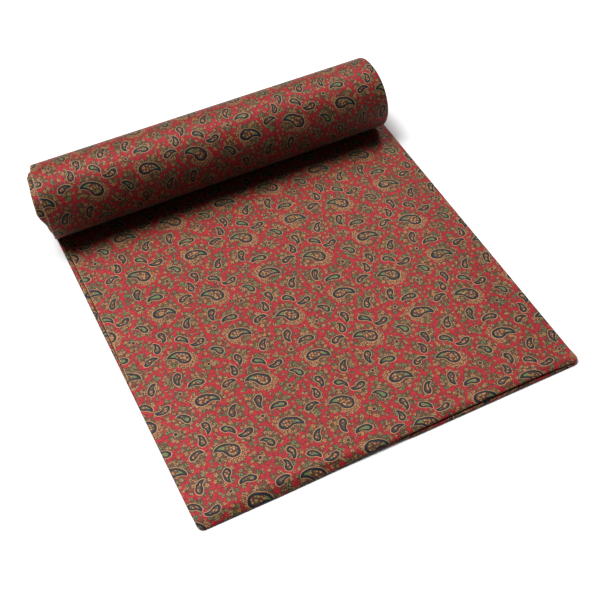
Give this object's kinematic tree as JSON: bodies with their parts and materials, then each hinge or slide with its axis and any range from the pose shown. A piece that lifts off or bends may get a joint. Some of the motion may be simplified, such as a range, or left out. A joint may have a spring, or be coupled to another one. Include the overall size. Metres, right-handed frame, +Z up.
{
  "type": "silk scarf",
  "caption": "Doubled silk scarf with an all-over paisley print, laid flat at its hem and rolled up from its far end.",
  "frame": {"origin": "on the surface that the scarf lies on, under the middle of its whole outline", "axes": "+X across the scarf from its seamed edge to its folded edge, +Y from the front hem to the roll, +Z up"},
  "size_m": [0.3086, 0.3405, 0.0594],
  "materials": {
    "printed_silk_face": "satin",
    "printed_silk_reverse": "satin"
  },
  "bodies": {
    "root": {"flat_face_ply": "printed_silk_face", "flat_reverse_ply": "printed_silk_reverse", "roll_outer_turn": "printed_silk_reverse", "roll_inner_turns": "printed_silk_face"}
  },
  "joints": []
}
